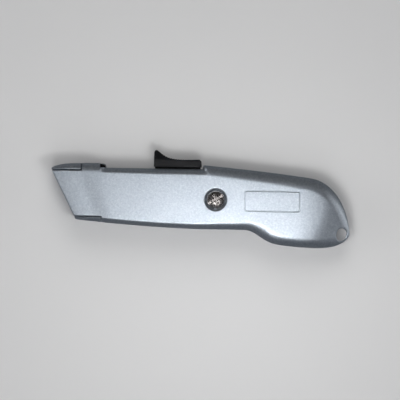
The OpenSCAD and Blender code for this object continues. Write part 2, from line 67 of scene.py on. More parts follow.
BODY_T = NEAR_HIGH[2]
HALF_T = BODY_T / 2
MID = HALF_T
SEAM = 0.1
ROOF = 2.0
RIM = 2.6                          # handle hollows in from the outline
WALL = 1.5                         # least wall between a hollow and the skin
EDGE_Z = 5.5                       # depth of the rounded edge
EDGE_STRAIGHT = 2.2                # least height that stays straight under it
NOSE_EDGE = (0.9, 1.0)             # width and depth of the edge of the nose's front
NOSE_STEP_X, NOSE_STEP_LEAN, NOSE_STEP_HALF = 18.4, 0.36, 5.4
NOSE_FALL_L, NOSE_FALL = 9.0, 0.006
TAIL_CENTRE = (50.9, 2.9)          # in from the tail's end, and up
BEND_R, BEND_SOFT, BEND_SLOPE = 24.0, 12.0, 0.14
FACET_R, FACET_SOFT, FACET_SLOPE = 36.5, 6.0, 0.20
NOSE_T = 17.8
SLANT = math.tan(math.radians(26.8))
NOSE_X = FAR_LOW[0]
TAIL_PAST_CAD = 0.4                # the CAD's last section is this far before the outline's end
TAIL_X = FAR_HIGH[0] + TAIL_PAST_CAD
BUTTON_RISE = 8.9                  # thumb ridge over the button's base
BASE_GAP = 0.8                     # button's base over the rail
RAIL_Y = BUTTON_HIGH[1] - BUTTON_RISE - BASE_GAP
BELLY_Y = FAR_LOW[1]
TIP_Y = RAIL_Y - 0.8
HUMP_RISE = 2.2
REAR_RISE = 2.15
BLADE_Z = BLADE_LOW[2]
BLADE_T = BLADE_HIGH[2] - BLADE_LOW[2]
EDGE_Y = BLADE_LOW[1]
SPINE_Y = BLADE_HIGH[1]
CHANNEL_Y = EDGE_Y - 0.5
NOSE_BOTTOM = CHANNEL_Y - 2.0
WAIST_Y = CHANNEL_Y - 6.0
LIP_Y = RAIL_Y - 1.7
FLANGE_TOP = CARRIER_HIGH[1]
FLANGE_Y = FLANGE_TOP - 3.0
CARRIER_Y = CARRIER_LOW[1]
CARRIER_Z = CARRIER_LOW[2]
CHANNEL_Z = CARRIER_Z - 0.2
FLANGE_Z1 = CARRIER_HIGH[2]
CHANNEL_TOP = FLANGE_Y - 0.1
TRAVEL = 24.0
BUTTON_FRONT, BUTTON_REAR = BUTTON_LOW[0], BUTTON_HIGH[0]
BUTTON_W = BUTTON_HIGH[2] - MID
BASE_Y = RAIL_Y + BASE_GAP
CREST_Y = BUTTON_HIGH[1]
STEM_X = (BUTTON_FRONT + BUTTON_REAR) / 2
STEM_L, STEM_T = 14.0, 3.2
SLOT_HALF = STEM_T / 2 + 0.4
SKIRT_GAP = 0.6
CARRIER_REAR = CARRIER_HIGH[0]
FLANGE_FRONT = CARRIER_LOW[0]
RAIL_FRONT = BUTTON_FRONT - TRAVEL - 0.7
RAIL_REAR = BUTTON_REAR + 0.5
BLOCK_X = (RAIL_FRONT - 3.1, RAIL_FRONT - 0.5)
HANDLE_X = CARRIER_REAR + 2.4
BLADE_STOP = BLADE_HIGH[0] + 0.6
INSERT_R = INSERT_HIGH[0]
INSERT_Z = INSERT_LOW[2]
SHANK_R = 2.5
HEAD_R = SCREW_HIGH[0]
HEAD_GAP = 1.1                     # at the mouth of the tapered counterbore
COUNTERBORE_R = HEAD_R + HEAD_GAP
HEAD_H = 2.2
SEAT_Z = SCREW_HIGH[2] - HEAD_H
SCREW_TOP = SCREW_HIGH[2]
SCREW_TIP = SCREW_LOW[2]
WEB_T = 1.3
BOSS_R = 5.5
LANYARD = (TAIL_X - 4.3, WAIST_Y - 1.6)
LANYARD_W, LANYARD_L, LANYARD_TILT = 5.2, 6.6, math.radians(12)
LABEL = (TAIL_X - 40.5, WAIST_Y + 15.1)
LABEL_L, LABEL_H, LABEL_R, GROOVE_W, GROOVE_D = 29.0, 11.0, 1.2, 0.62, 0.9
TOP_TAB = (NOSE_X + 15.6, TIP_Y - 0.3)
BOTTOM_TAB = (NOSE_X + 26.2, NOSE_BOTTOM + 1.3)
TAB_GAP = 0.65
CLIP = (21.0, WAIST_Y + 13.5)
CLIP_Z = box_mm("spare_blade_clip")[1][2]


def nose_front(y):
    return NOSE_X + (TIP_Y - y) * SLANT


# ---------------------------------------------------------------------------------------------
# Outline of the casings
# ---------------------------------------------------------------------------------------------
def bezier(points, n):
    t = np.linspace(0, 1, n, endpoint=False)[:, None]
    p = np.array(points, float)
    u = 1 - t
    return u ** 3 * p[0] + 3 * u * u * t * p[1] + 3 * u * t * t * p[2] + t ** 3 * p[3]


def v2(x, y):
    return np.array([x, y], float)


crest = v2(NOSE_X + 7.5, RAIL_Y + HUMP_RISE - 0.4)
hump_end = v2(RAIL_FRONT - 2.2, RAIL_Y + HUMP_RISE)
shoulder = v2(RAIL_REAR + 0.4, RAIL_Y + REAR_RISE)
tail_top = v2(TAIL_X - 20.2, RAIL_Y - 3.8)
tail_point = v2(TAIL_X, WAIST_Y - 1.1)
waist_rear = v2(TAIL_X - 55.4, WAIST_Y)
belly_front = v2(TAIL_X - 38.3, BELLY_Y + 1.6)
belly_rear = v2(TAIL_X - 15.5, BELLY_Y)
waist_front = v2(-8, WAIST_Y)
bottom_x = nose_front(NOSE_BOTTOM)
nose_tip = v2(NOSE_X, TIP_Y)
nose_heel = v2(bottom_x, NOSE_BOTTOM)

TOP_LINE = np.vstack([
    nose_tip + v2(-6, -5.5),
    bezier([nose_tip, nose_tip + (0.8, 1), (NOSE_X + 4, crest[1] - 0.5), crest], 24),
    bezier([crest, crest + (7, 0.4), hump_end + (-6, 0.3), hump_end], 16),
    bezier([hump_end, hump_end + (1.2, -0.1), (RAIL_FRONT - 0.1, RAIL_Y + 1.8),
            (RAIL_FRONT, RAIL_Y)], 14),
    [(RAIL_FRONT, RAIL_Y)],
    [(RAIL_REAR, RAIL_Y)],
    bezier([shoulder, shoulder + (18.6, -1.5), (tail_top[0] - 15.7, shoulder[1] - 3.7), tail_top],
           30),
    bezier([tail_top, tail_top + (11.3, -1.9), tail_point + (-1.3, 14.6), tail_point], 40),
    [tail_point],
])
BOTTOM_LINE = np.vstack([
    [nose_heel + v2(-6, 0.6)],
    bezier([nose_heel, (bottom_x + 20.4, WAIST_Y + 2), waist_front + (-20, 0.2), waist_front], 30),
    [waist_front],
    bezier([waist_rear, waist_rear + (6.8, 0.1), belly_front + (-7.6, 1.3), belly_front], 26),
    bezier([belly_front, belly_front + (6.4, -1.1), belly_rear + (-7.4, 0), belly_rear], 20),
    bezier([belly_rear, belly_rear + (10.4, 0.2), tail_point + (0, -2.8), tail_point], 30),
])
OUTLINE = np.vstack([TOP_LINE, BOTTOM_LINE[::-1]])


def polygon_distance(points, x, y):
    """Signed distance to a closed polygon, positive inside."""
    best = np.full(x.shape, 1e9)
    inside = np.zeros(x.shape, bool)
    for a, b in zip(points, np.roll(points, -1, axis=0)):
        d = b - a
        length = d @ d
        if length < 1e-12:
            continue
        px, py = x - a[0], y - a[1]
        t = np.clip((px * d[0] + py * d[1]) / length, 0, 1)
        best = np.minimum(best, (px - t * d[0]) ** 2 + (py - t * d[1]) ** 2)
        if a[1] != b[1]:
            crosses = (a[1] > y) != (b[1] > y)
            inside ^= crosses & (px < (y - a[1]) / d[1] * d[0])
    return np.where(inside, 1, -1) * np.sqrt(best)


class Table:
    """Values on a fine grid, read back with smooth interpolation."""

    def __init__(self, low, high, step, function):
        self.low, self.step = low, step
        xs = np.arange(low[0], high[0] + step, step)
        ys = np.arange(low[1], high[1] + step, step)
        self.values = function(*np.meshgrid(xs, ys, indexing="ij"))

    def __call__(self, x, y):
        x, y = np.broadcast_arrays(x, y)
        nx, ny = self.values.shape
        u = np.clip((x - self.low[0]) / self.step, 0, nx - 1.001)
        v = np.clip((y - self.low[1]) / self.step, 0, ny - 1.001)
        i, j = u.astype(int), v.astype(int)
        u, v = u - i, v - j
        t = self.values
        return ((t[i, j] * (1 - u) + t[i + 1, j] * u) * (1 - v)
                + (t[i, j + 1] * (1 - u) + t[i + 1, j + 1] * u) * v)


OUTLINE_TABLE = Table((NOSE_X - 8, BELLY_Y - 3), (TAIL_X + 4, RAIL_Y + 6), 0.22,
                      lambda x, y: polygon_distance(OUTLINE, x, y))


# ---------------------------------------------------------------------------------------------
# Fields, positive inside the material
# ---------------------------------------------------------------------------------------------
def smin(a, b, k):
    h = np.maximum(k - np.abs(a - b), 0) / k
    return np.minimum(a, b) - h * h * k * 0.25


def smax(a, b, k):
    return -smin(-a, -b, k)


def ramp(x, low, high):
    t = np.clip((x - low) / (high - low), 0, 1)
    return t * t * (3 - 2 * t)


def brick(x, y, z, low, high, r=0.0):
    """A box between two corners, with edges of radius r."""
    q = []
    for c, a, b in zip((x, y, z), low, high):
        q.append(np.abs(c - (a + b) / 2) - (b - a) / 2 + r)
    q = np.broadcast_arrays(*q)
    outside = np.sqrt(sum(np.maximum(c, 0) ** 2 for c in q))
    return r - outside - np.minimum(np.maximum(np.maximum(q[0], q[1]), q[2]), 0)


def disc(x, y, cx, cy, r):
    return r - np.hypot(x - cx, y - cy)


def slab(z, low, high):
    return (high - low) / 2 - np.abs(z - (low + high) / 2)


def convex(x, y, points):
    """A convex polygon whose points run counter-clockwise."""
    best = FAR_AWAY
    for a, b in zip(points, points[1:] + points[:1]):
        dx, dy = b[0] - a[0], b[1] - a[1]
        best = np.minimum(best, (dx * (y - a[1]) - dy * (x - a[0])) / math.hypot(dx, dy))
    return best


def rounded_edge(d, up, width, depth):
    """Quarter-ellipse edge: d in from the side, up is the height still above the point."""
    a = np.maximum(width - d, 0) / width
    b = np.maximum(depth - up, 0) / depth
    m = np.sqrt(a * a + b * b) + 1e-9
    slope = np.sqrt((a / width) ** 2 + (b / depth) ** 2) / m + 1e-9
    return np.where(m < 0.02, np.minimum(width, depth), (1 - m) / slope)


def half_height(x, y):
    """Height of the casing's outer face over the parting plane."""
    step = ramp(x - (NOSE_X + NOSE_STEP_X + (TIP_Y - y) * NOSE_STEP_LEAN),
                -NOSE_STEP_HALF, NOSE_STEP_HALF)
    fall_off = NOSE_FALL * np.maximum(NOSE_FALL_L - (x - nose_front(y)), 0) ** 2
    height = HALF_T - (1 - step) * (HALF_T - NOSE_T / 2) - fall_off
    # the face bends down slowly towards the tail, then falls to a soft facet
    beyond = np.hypot(np.maximum(x - (TAIL_X - TAIL_CENTRE[0]), 0), y - TAIL_CENTRE[1])
    return (height - BEND_SLOPE * soft_fall(beyond - BEND_R, BEND_SOFT)
            - FACET_SLOPE * soft_fall(beyond - FACET_R, FACET_SOFT))


def soft_fall(beyond, soft):
    """Nothing before 0, then a slope that grows to 1 over soft."""
    return np.where(beyond < soft, np.maximum(beyond, 0) ** 2 / (2 * soft), beyond - soft / 2)


def top_width(x):
    """Width of the rounded top edge: its inner line passes the rail's two ends straight."""
    ends = [-4.1, -3, -2, -1, 0]
    places = ([NOSE_X + 13, NOSE_X + 17] + [RAIL_FRONT + e for e in ends]
              + [RAIL_REAR - e for e in ends[::-1]] + [waist_rear[0] + 5.5, TAIL_X - 20])
    return np.interp(x, places, [2.9, 4.3, 4.7, 4.1, 3.4, 2.95, 2.8,
                                 3.1, 3.3, 3.8, 4.5, 5.4, 6.0, 7.0])


def bottom_width(x):
    bend = (waist_rear[0] + belly_front[0]) / 2
    return np.interp(x, [NOSE_X + 15, waist_front[0], waist_rear[0], bend + 2, belly_front[0] + 4,
                         belly_rear[0]], [2.6, 3.2, 4.4, 6.2, 5.0, 4.8])


def height_left(x, y, z):
    """Height of the outer face over the parting plane, and what is still above the point."""
    height = half_height(x, y)
    return height, height - np.abs(z - MID)


def rim(x, y, z):
    """Outer skin without the nose's slanted front."""
    height, up = height_left(x, y, z)
    upper = ramp(y, -9.0, 6.0)
    width = bottom_width(x) * (1 - upper) + top_width(x) * upper
    return rounded_edge(OUTLINE_TABLE(x, y), up, width, np.minimum(EDGE_Z, height - EDGE_STRAIGHT))


def skin(x, y, z):
    """Outer skin of both casings together."""
    nose = (x - nose_front(y)) / math.hypot(1, SLANT)
    return np.minimum(rim(x, y, z), rounded_edge(nose, height_left(x, y, z)[1], *NOSE_EDGE))


def nose_tabs(x, y, z, gap):
    upper = brick(x, y, z, (NOSE_X - 50, TOP_TAB[1] - gap, MID - 2),
                  (TOP_TAB[0] + gap, TOP_TAB[1] + 50, MID + 50))
    lower = brick(x, y, z, (NOSE_X - 50, BOTTOM_TAB[1] - 50, MID - 2),
                  (BOTTOM_TAB[0] + gap, BOTTOM_TAB[1] + gap, MID + 50))
    return np.maximum(upper, lower)


def carrier_front(y):
    return FLANGE_FRONT + (SPINE_Y - y) * SLANT


def carrier_sweep(x, y):
    front = -TRAVEL - 0.8
    return convex(x, y, [
        (carrier_front(CARRIER_Y) + front, CARRIER_Y - 0.2), (CARRIER_REAR + 0.8, CARRIER_Y - 0.2),
        (CARRIER_REAR + 0.8, LIP_Y), (carrier_front(LIP_Y) + front, LIP_Y)])


def stem_sweep(x, y, z, z0, z1):
    lower = brick(x, y, z, (BLOCK_X[1], FLANGE_Y, z0),
                  (STEM_X + STEM_L / 2 + 0.6, RAIL_Y + 12, z1))
    upper = brick(x, y, z, (BLOCK_X[1], LIP_Y - 0.1, z0),
                  (BUTTON_REAR - SKIRT_GAP + 0.4, RAIL_Y + 12, z1))
    return np.maximum(lower, upper)


def index_block(x, y, gap):
    top = RAIL_Y + HUMP_RISE
    a, b = BLOCK_X[0] - gap, BLOCK_X[1] + gap
    return convex(x, y, [(a, LIP_Y - 0.2), (b, LIP_Y - 0.2), (b, top - 1 + gap),
                         (a, top - 0.25 + gap)])


def handle_outline(x, y, end, boss):
    f = smin(OUTLINE_TABLE(x, y) - RIM, np.minimum(x - HANDLE_X, end - x), 1.2)
    f = smin(f, -disc(x, y, 0, 0, boss), 0.8)
    return smin(f, -disc(x, y, LANYARD[0], LANYARD[1], LANYARD_L / 2 + 1.8), 0.8)


def handle_hollow(x, y, z, boss):
    """Hollow of either casing, at least WALL under the rounded outer skin."""
    depth_z = np.abs(z - MID)
    deep = smin(handle_outline(x, y, TAIL_X - 9.5, boss), HALF_T - ROOF - depth_z, 0.6)
    shallow = smin(handle_outline(x, y, TAIL_X - 3, boss), 5 - depth_z, 0.6)
    return smin(np.maximum(deep, shallow), rim(x, y, z) - WALL, 0.5)


def lanyard_hole(x, y):
    c, s = math.cos(LANYARD_TILT), math.sin(LANYARD_TILT)
    px, py = x - LANYARD[0], y - LANYARD[1]
    across, along = px * c - py * s, px * s + py * c
    straight = (LANYARD_L - LANYARD_W) / 2
    return LANYARD_W / 2 - np.hypot(across, np.maximum(np.abs(along) - straight, 0))


def cells(x, y, z, low_y, high_y, z0, z1):
    first = FLANGE_FRONT - 2
    pitch = (CARRIER_REAR - first) / 3
    f = -FAR_AWAY
    for i in range(3):
        f = np.maximum(f, brick(x, y, z, (first + i * pitch, low_y, z0),
                                (first + (i + 1) * pitch - 1.6, high_y, z1), 0.4))
    return f


def label_groove(x, y):
    def frame_line(inset, r):
        qx = np.abs(x - LABEL[0]) - LABEL_L / 2 + inset + r
        qy = np.abs(y - LABEL[1]) - LABEL_H / 2 + inset + r
        return (r - np.hypot(np.maximum(qx, 0), np.maximum(qy, 0))
                - np.minimum(np.maximum(qx, qy), 0))
    return GROOVE_W / 2 - np.abs(frame_line(GROOVE_W / 2, LABEL_R - GROOVE_W / 2))


def cut(f, hole, k=0.25):
    return smin(f, -hole, k)


def near_field(x, y, z):
    f = smin(skin(x, y, z), z - (MID + SEAM / 2), 0.35)
    f = cut(f, nose_tabs(x, y, z, TAB_GAP), 0.3)
    f = cut(f, brick(x, y, z, (NOSE_X - 50, CHANNEL_Y, MID - 3),
                     (BLADE_STOP, CHANNEL_TOP, BLADE_Z + BLADE_T + 0.25)), 0.15)
    f = cut(f, brick(x, y, z, (carrier_front(SPINE_Y) - TRAVEL, SPINE_Y - 3.5, MID - 3),
                     (CARRIER_REAR, CHANNEL_TOP, MID + 1.8), 0.2))
    f = cut(f, brick(x, y, z, (FLANGE_FRONT - TRAVEL - 0.8, CHANNEL_TOP - 0.2, MID - 3),
                     (CARRIER_REAR + 0.8, LIP_Y, FLANGE_Z1 + 0.2), 0.2))
    f = cut(f, stem_sweep(x, y, z, MID - 3, MID + SLOT_HALF), 0.3)
    f = cut(f, np.minimum(index_block(x, y, 0.1), MID + 3 - z))
    f = cut(f, brick(x, y, z, (BLOCK_X[0] - 0.1, RAIL_Y + 0.05, MID - 3),
                     (RAIL_FRONT + 1, RAIL_Y + 12, MID + 50)), 0.2)
    ribs = (CARRIER_Y, (CARRIER_Y + SPINE_Y) / 2 - 2, SPINE_Y - 4)
    for low, high in zip(ribs, ribs[1:]):
        f = cut(f, cells(x, y, z, low + 0.8, high - 0.8, MID - 3, BODY_T - ROOF - 0.5))
    hollow = handle_hollow(x, y, z, COUNTERBORE_R + 1.4)
    boss = np.minimum(disc(x, y, CLIP[0], CLIP[1], 3.2), z - CLIP_Z)
    f = cut(f, smin(hollow, -boss, 0.4))
    # tapered seat, web and bore for the casing screw, with a rolled rim
    taper = HEAD_R + 0.2 + (z - SEAT_Z) * (COUNTERBORE_R - HEAD_R - 0.2) / (BODY_T - SEAT_Z)
    f = cut(f, np.minimum(disc(x, y, 0, 0, taper), z - SEAT_Z), 0.4)
    f = cut(f, disc(x, y, 0, 0, SHANK_R + 0.25), 0.2)
    f = cut(f, np.minimum(disc(x, y, 0, 0, INSERT_R + 0.25), SEAT_Z - WEB_T - z), 0.05)
    f = cut(f, np.minimum(label_groove(x, y), z - (BODY_T - GROOVE_D)), 0.08)
    return cut(f, lanyard_hole(x, y), 0.7)


def far_field(x, y, z):
    f = smin(skin(x, y, z), smax(MID - SEAM / 2 - z, nose_tabs(x, y, z, 0), 0.15), 0.3)
    f = cut(f, brick(x, y, z, (NOSE_X - 50, CHANNEL_Y, BLADE_Z - 0.25),
                     (BLADE_STOP, CHANNEL_TOP, MID + 1)), 0.15)
    f = cut(f, np.minimum(carrier_sweep(x, y), slab(z, CHANNEL_Z, MID + 0.5)), 0.2)
    f = cut(f, stem_sweep(x, y, z, MID - SLOT_HALF, MID + 3), 0.3)
    f = cut(f, brick(x, y, z, (BLOCK_X[0] - 0.1, STRIP_LOW[1] - 0.1, CHANNEL_Z),
                     (CARRIER_REAR + 0.8, LIP_Y, MID + 3)), 0.2)
    f = cut(f, np.minimum(index_block(x, y, 0.1), z - CHANNEL_Z))
    f = cut(f, cells(x, y, z, CARRIER_Y + 1, SPINE_Y - 1, ROOF, MID))
    hollow = handle_hollow(x, y, z, BOSS_R)
    for rib in (18.0, 34.0, 50.0):
        wall = brick(x, y, z, (rib, WAIST_Y - 30, -5), (rib + 1.6, RAIL_Y + 9, CHANNEL_Z), 0.1)
        hollow = smin(hollow, -wall, 0.4)
    f = cut(f, hollow)
    f = cut(f, np.minimum(disc(x, y, 0, 0, INSERT_R), z - INSERT_Z), 0.15)
    f = cut(f, np.minimum(disc(x, y, 0, 0, SHANK_R + 0.2), z - (SCREW_TIP - 1)), 0.1)
    return cut(f, lanyard_hole(x, y), 0.7)


# ---------------------------------------------------------------------------------------------
# Meshes from fields
# ---------------------------------------------------------------------------------------------
def axis(low, high, step, fine=()):
    """Grid positions: fine gives (centre, half width, step) where the grid gets closer."""
    out = [low]
    while out[-1] < high:
        x = out[-1]
        h = step(x) if callable(step) else step
        for centre, half, small in fine:
            h = min(h, small + 0.45 * max(0.0, abs(x - centre) - half))
        out.append(x + h)
    return np.array(out)


def surface_net(field, xs, ys, zs, rounds=3):
    """Closed quad mesh of field's zero level, its vertices moved onto the exact level."""
    f = field(xs[:, None, None], ys[None, :, None], zs[None, None, :])
    f = np.broadcast_to(f, (len(xs), len(ys), len(zs))).astype(np.float32)
    shape = tuple(n - 1 for n in f.shape)
    total = np.zeros(shape + (3,), np.float32)
    count = np.zeros(shape, np.float32)
    crossings = []
    grids = (xs, ys, zs)
    for ax in range(3):
        lower = [slice(None)] * 3
        upper = [slice(None)] * 3
        lower[ax], upper[ax] = slice(0, -1), slice(1, None)
        a, b = f[tuple(lower)], f[tuple(upper)]
        edges = np.argwhere((a > 0) != (b > 0))
        fa, fb = a[tuple(edges.T)], b[tuple(edges.T)]
        t = fa / (fa - fb)
        place = np.stack([grids[k][edges[:, k]] for k in range(3)], 1)
        place[:, ax] += t * (grids[ax][edges[:, ax] + 1] - grids[ax][edges[:, ax]])
        crossings.append((edges, fa > 0))
        others = [k for k in range(3) if k != ax]
        for du in (0, 1):
            for dv in (0, 1):
                cell = edges.copy()
                cell[:, others[0]] -= du
                cell[:, others[1]] -= dv
                keep = np.all((cell >= 0) & (cell < shape), axis=1)
                index = tuple(cell[keep].T)
                np.add.at(total, index, place[keep])
                np.add.at(count, index, 1)
    used = count > 0
    number = np.full(shape, -1)
    number[used] = np.arange(used.sum())
    points = (total[used] / count[used][:, None]).astype(float)
    quads = []
    for ax, (edges, rising) in enumerate(crossings):
        u, v = (ax + 1) % 3, (ax + 2) % 3
        ring = []
        for du, dv in ((1, 1), (0, 1), (0, 0), (1, 0)):
            cell = edges.copy()
            cell[:, u] -= du
            cell[:, v] -= dv
            ring.append(number[tuple(cell.T)])
        quad = np.stack(ring, 1)
        quad[~rising] = quad[~rising][:, ::-1]
        quads.append(quad)
    quads = np.vstack(quads)

    def gradient(p, e):
        g = []
        for k in range(3):
            d = np.zeros(3)
            d[k] = e
            g.append((field(*(p + d).T) - field(*(p - d).T)) / (2 * e))
        return np.stack(g, 1)

    start = points.copy()
    for _ in range(rounds):
        g = gradient(points, 0.03)
        value = field(*points.T)
        step = (value / np.maximum((g * g).sum(1), 0.05))[:, None] * g
        length = np.linalg.norm(step, axis=1, keepdims=True) + 1e-9
        points = points - step * np.minimum(1, 0.15 / length)
    moved = points - start
    length = np.linalg.norm(moved, axis=1, keepdims=True) + 1e-9
    points = start + moved * np.minimum(1, 0.3 / length)
    normals = -gradient(points, 0.1)
    normals /= np.linalg.norm(normals, axis=1, keepdims=True) + 1e-9
    return points, quads, normals


def field_piece(name, field, grid, body, replaced, material):
    points, quads, normals = surface_net(field, *grid)
    mesh = bpy.data.meshes.new(name)
    mesh.vertices.add(len(points))
    mesh.vertices.foreach_set("co", (points * MM).ravel())
    mesh.loops.add(quads.size)
    mesh.loops.foreach_set("vertex_index", quads.ravel())
    mesh.polygons.add(len(quads))
    mesh.polygons.foreach_set("loop_start", np.arange(0, quads.size, 4))
    mesh.polygons.foreach_set("use_smooth", np.ones(len(quads), bool))
    mesh.update(calc_edges=True)
    mesh.validate()
    mesh.normals_split_custom_set_from_vertices(normals)
    piece = bpy.data.objects.new(name, mesh)
    bpy.context.scene.collection.objects.link(piece)
    mesh.materials.append(material)
    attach(piece, body)
    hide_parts(replaced)


# ---------------------------------------------------------------------------------------------
# Materials
# ---------------------------------------------------------------------------------------------
class Nodes:
    """A Principled material with short calls for its node tree."""

    def __init__(self, name, color, metallic, roughness, **sockets):
        self.material = bpy.data.materials.new(name)
        self.material.use_nodes = True
        self.tree = self.material.node_tree
        self.shader = self.tree.nodes["Principled BSDF"]
        self.shader.inputs["Base Color"].default_value = (*color, 1)
        self.shader.inputs["Metallic"].default_value = metallic
        self.shader.inputs["Roughness"].default_value = roughness
        for key, value in sockets.items():
            self.shader.inputs[key.replace("_", " ")].default_value = value
        self.bump_out = None
        self.coords = self.node("ShaderNodeTexCoord").outputs["Object"]

    def node(self, kind, **values):
        n = self.tree.nodes.new(kind)
        for key, value in values.items():
            if hasattr(n, key):
                setattr(n, key, value)
            else:
                n.inputs[key].default_value = value
        return n

    def link(self, a, b):
        self.tree.links.new(a, b)

    def stretched(self, scale):
        m = self.node("ShaderNodeMapping", Scale=scale)
        self.link(self.coords, m.inputs["Vector"])
        return m.outputs["Vector"]

    def noise(self, scale, detail=3.0, rough=0.5, stretch=None, distortion=0.0):
        n = self.node("ShaderNodeTexNoise", Scale=scale, Detail=detail, Roughness=rough,
                      Distortion=distortion)
        self.link(self.stretched(stretch) if stretch else self.coords, n.inputs["Vector"])
        return n.outputs["Fac"]

    def flakes(self, size_mm):
        n = self.node("ShaderNodeTexVoronoi", Scale=1000.0 / size_mm)
        self.link(self.coords, n.inputs["Vector"])
        split = self.node("ShaderNodeSeparateColor")
        self.link(n.outputs["Color"], split.inputs["Color"])
        return split.outputs[0], n.outputs["Distance"]

    def map(self, value, low, high, to_low, to_high):
        m = self.node("ShaderNodeMapRange")
        for key, number in (("From Min", low), ("From Max", high), ("To Min", to_low),
                            ("To Max", to_high)):
            m.inputs[key].default_value = number
        self.link(value, m.inputs["Value"])
        return m.outputs["Result"]

    def mix(self, factor, a, b):
        m = self.node("ShaderNodeMix", data_type="RGBA")
        m.inputs[6].default_value = (*a, 1)
        m.inputs[7].default_value = (*b, 1)
        self.link(factor, m.inputs[0])
        return m.outputs[2]

    def blend_to(self, factor, color_socket, b):
        """From a colour that nodes make towards a fixed one."""
        m = self.node("ShaderNodeMix", data_type="RGBA")
        m.inputs[7].default_value = (*b, 1)
        self.link(factor, m.inputs[0])
        self.link(color_socket, m.inputs[6])
        return m.outputs[2]

    def color(self, socket):
        self.link(socket, self.shader.inputs["Base Color"])

    def rough(self, socket):
        self.link(socket, self.shader.inputs["Roughness"])

    def bump(self, height, strength, distance_mm):
        b = self.node("ShaderNodeBump", Strength=strength, Distance=distance_mm * MM)
        self.link(height, b.inputs["Height"])
        if self.bump_out is not None:
            self.link(self.bump_out, b.inputs["Normal"])
        self.bump_out = b.outputs["Normal"]
        self.link(self.bump_out, self.shader.inputs["Normal"])


def casing_paint():
    m = Nodes("silver_paint", (0.56, 0.62, 0.69), 0.91, 0.42, Coat_Weight=0.2,
              Coat_Roughness=0.24, Specular_IOR_Level=0.5)
    fine, _ = m.flakes(0.16)
    coarse, _ = m.flakes(0.55)
    clumps = m.noise(900, 3, 0.6)
    tone = m.mix(m.map(m.noise(55, 4, 0.55), 0.3, 0.7, 0, 1), (0.535, 0.595, 0.665),
                 (0.565, 0.625, 0.695))
    grains = m.blend_to(m.map(coarse, 0, 1, 0, 0.6), tone, (0.76, 0.81, 0.86))
    m.color(m.blend_to(m.map(clumps, 0.3, 0.7, 0, 0.55), grains, (0.40, 0.46, 0.535)))
    m.rough(m.map(m.noise(700, 4, 0.6), 0.3, 0.7, 0.39, 0.46))
    m.bump(fine, 0.35, 0.02)
    m.bump(coarse, 0.35, 0.04)
    m.bump(m.noise(900, 3, 0.5), 0.30, 0.04)
    return m.material


def black_plastic():
    m = Nodes("moulded_black_plastic", (0.008, 0.008, 0.010), 0.0, 0.42, Specular_IOR_Level=0.28)
    cloud = m.noise(90, 4, 0.6)
    m.color(m.mix(m.map(cloud, 0.35, 0.7, 0, 1), (0.005, 0.005, 0.006), (0.011, 0.012, 0.015)))
    m.rough(m.map(m.noise(300, 4, 0.6), 0.3, 0.7, 0.36, 0.55))
    _, grain = m.flakes(0.22)
    m.bump(grain, 0.25, 0.03)
    m.bump(m.noise(1500, 2, 0.5), 0.2, 0.02)
    return m.material


def steel(name, light, dark, roughness, stretch, grain=0.25, scale=900):
    """Steel with fine lines along one direction, dull patches and a little unevenness."""
    m = Nodes(name, light, 1.0, roughness)
    lines = m.noise(scale, 6, 0.65, stretch)
    patches = m.noise(120, 4, 0.6, distortion=0.4)
    m.color(m.mix(m.map(patches, 0.32, 0.72, 0, 1), light, dark))
    m.rough(m.map(lines, 0.25, 0.75, roughness * 0.75, roughness * 1.35))
    m.bump(lines, grain, 0.02)
    return m.material


def cast_alloy():
    m = Nodes("cast_alloy", (0.42, 0.43, 0.45), 0.9, 0.5)
    m.color(m.mix(m.map(m.noise(160, 5, 0.6), 0.3, 0.7, 0, 1), (0.34, 0.35, 0.37),
                  (0.50, 0.51, 0.53)))
    m.rough(m.map(m.noise(380, 4, 0.6), 0.3, 0.7, 0.42, 0.62))
    m.bump(m.noise(700, 4, 0.6), 0.5, 0.08)
    _, grain = m.flakes(0.35)
    m.bump(grain, 0.2, 0.04)
    return m.material


PAINT = casing_paint()
BLACK = black_plastic()
SCREW_STEEL = steel("screw_steel", (0.62, 0.585, 0.565), (0.26, 0.24, 0.235), 0.24, (1, 1, 0.08),
                    0.45, 1200)
BLADE_STEEL = steel("blade_steel", (0.62, 0.63, 0.65), (0.50, 0.51, 0.54), 0.28, (0.06, 1, 1))
SPRING_STEEL = steel("spring_steel", (0.46, 0.50, 0.58), (0.34, 0.38, 0.47), 0.3, (0.1, 1, 1))
PIN_STEEL = steel("pin_steel", (0.64, 0.64, 0.65), (0.52, 0.52, 0.54), 0.25, (1, 1, 0.2))
BRASS = steel("brass", (0.72, 0.53, 0.22), (0.55, 0.38, 0.15), 0.28, (1, 1, 0.2))
ALLOY = cast_alloy()


# ---------------------------------------------------------------------------------------------
# Casings
# ---------------------------------------------------------------------------------------------
def casing_x(x):
    """Grid step along the knife: wider where nothing changes along it."""
    if RAIL_FRONT + 4 < x < CARRIER_REAR - 5:
        return 0.75
    return 0.42


